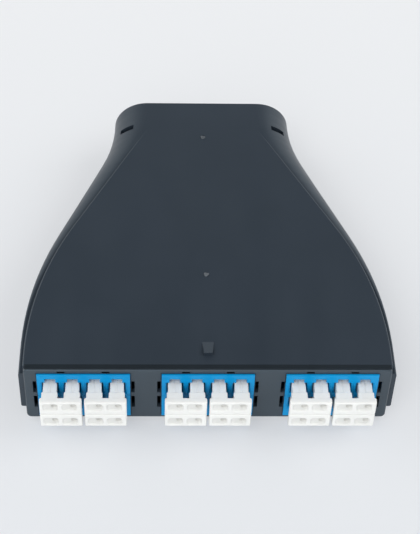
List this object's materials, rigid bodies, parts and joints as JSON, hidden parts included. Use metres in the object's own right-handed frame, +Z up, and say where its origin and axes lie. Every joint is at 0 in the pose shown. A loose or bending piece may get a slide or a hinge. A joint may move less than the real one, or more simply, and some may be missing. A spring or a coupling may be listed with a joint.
{
  "type": "fibre cassette",
  "caption": "Fibre-optic cassette: flat waisted plastic housing with stacked rows of capped fibre ports in its front and capped multi-fibre ports in its neck.",
  "frame": {"origin": "middle of the front panel's face, on the parting plane between the two shells", "axes": "+X to the right seen from the front, +Y from the front panel to the neck, +Z up towards the face with the ramp"},
  "size_m": [0.1066, 0.1244, 0.0234],
  "materials": {
    "housing": "fine moulded grain, satin",
    "adapter": "smooth moulded",
    "cap": "fine moulded, satin",
    "plug": "smooth moulded",
    "ferrule": "polished",
    "boot": "soft matte",
    "fibre": "smooth jacket",
    "block": "matte",
    "multifibre_plug": "smooth moulded",
    "multifibre_adapter": "satin"
  },
  "bodies": {
    "cassette": {"top_shell": "housing", "bottom_shell": "housing", "front_panel": "housing", "lc_adapter_upper_1": "adapter", "lc_adapter_upper_2": "adapter", "lc_adapter_upper_3": "adapter", "inner_lc_plugs_upper": "plug", "lc_ferrules_upper": "ferrule", "lc_boots_upper": "boot", "lc_adapter_lower_1": "adapter", "lc_adapter_lower_2": "adapter", "lc_adapter_lower_3": "adapter", "inner_lc_plugs_lower": "plug", "lc_ferrules_lower": "ferrule", "lc_boots_lower": "boot", "fan_out_fibres_left": "fibre", "fan_out_block_left": "block", "fibre_ribbon_left": "fibre", "multifibre_boot_left": "block", "multifibre_plug_left": "multifibre_plug", "multifibre_ferrule_left": "block", "multifibre_adapter_left": "multifibre_adapter", "fan_out_fibres_right": "fibre", "fan_out_block_right": "block", "fibre_ribbon_right": "fibre", "multifibre_boot_right": "block", "multifibre_plug_right": "multifibre_plug", "multifibre_ferrule_right": "block", "multifibre_adapter_right": "multifibre_adapter", "rear_plate": "housing"},
    "upper_cap_1": {"lc_dust_cap_upper_1": "cap"},
    "upper_cap_2": {"lc_dust_cap_upper_2": "cap"},
    "upper_cap_3": {"lc_dust_cap_upper_3": "cap"},
    "upper_cap_4": {"lc_dust_cap_upper_4": "cap"},
    "upper_cap_5": {"lc_dust_cap_upper_5": "cap"},
    "upper_cap_6": {"lc_dust_cap_upper_6": "cap"},
    "lower_cap_1": {"lc_dust_cap_lower_1": "cap"},
    "lower_cap_2": {"lc_dust_cap_lower_2": "cap"},
    "lower_cap_3": {"lc_dust_cap_lower_3": "cap"},
    "lower_cap_4": {"lc_dust_cap_lower_4": "cap"},
    "lower_cap_5": {"lc_dust_cap_lower_5": "cap"},
    "lower_cap_6": {"lc_dust_cap_lower_6": "cap"},
    "trunk_cap_left": {"multifibre_dust_cap_left": "cap"},
    "trunk_cap_right": {"multifibre_dust_cap_right": "cap"}
  },
  "joints": [
    {"name": "upper_cap_1_pull", "type": "slide", "parent": "cassette", "child": "upper_cap_1", "axis": [0, -1, 0], "range_m": [0, 0.012]},
    {"name": "upper_cap_2_pull", "type": "slide", "parent": "cassette", "child": "upper_cap_2", "axis": [0, -1, 0], "range_m": [0, 0.012]},
    {"name": "upper_cap_3_pull", "type": "slide", "parent": "cassette", "child": "upper_cap_3", "axis": [0, -1, 0], "range_m": [0, 0.012]},
    {"name": "upper_cap_4_pull", "type": "slide", "parent": "cassette", "child": "upper_cap_4", "axis": [0, -1, 0], "range_m": [0, 0.012]},
    {"name": "upper_cap_5_pull", "type": "slide", "parent": "cassette", "child": "upper_cap_5", "axis": [0, -1, 0], "range_m": [0, 0.012]},
    {"name": "upper_cap_6_pull", "type": "slide", "parent": "cassette", "child": "upper_cap_6", "axis": [0, -1, 0], "range_m": [0, 0.012]},
    {"name": "lower_cap_1_pull", "type": "slide", "parent": "cassette", "child": "lower_cap_1", "axis": [0, -1, 0], "range_m": [0, 0.012]},
    {"name": "lower_cap_2_pull", "type": "slide", "parent": "cassette", "child": "lower_cap_2", "axis": [0, -1, 0], "range_m": [0, 0.012]},
    {"name": "lower_cap_3_pull", "type": "slide", "parent": "cassette", "child": "lower_cap_3", "axis": [0, -1, 0], "range_m": [0, 0.012]},
    {"name": "lower_cap_4_pull", "type": "slide", "parent": "cassette", "child": "lower_cap_4", "axis": [0, -1, 0], "range_m": [0, 0.012]},
    {"name": "lower_cap_5_pull", "type": "slide", "parent": "cassette", "child": "lower_cap_5", "axis": [0, -1, 0], "range_m": [0, 0.012]},
    {"name": "lower_cap_6_pull", "type": "slide", "parent": "cassette", "child": "lower_cap_6", "axis": [0, -1, 0], "range_m": [0, 0.012]},
    {"name": "trunk_cap_left_pull", "type": "slide", "parent": "cassette", "child": "trunk_cap_left", "axis": [0, 1, 0], "range_m": [0, 0.012]},
    {"name": "trunk_cap_right_pull", "type": "slide", "parent": "cassette", "child": "trunk_cap_right", "axis": [0, 1, 0], "range_m": [0, 0.012]}
  ]
}
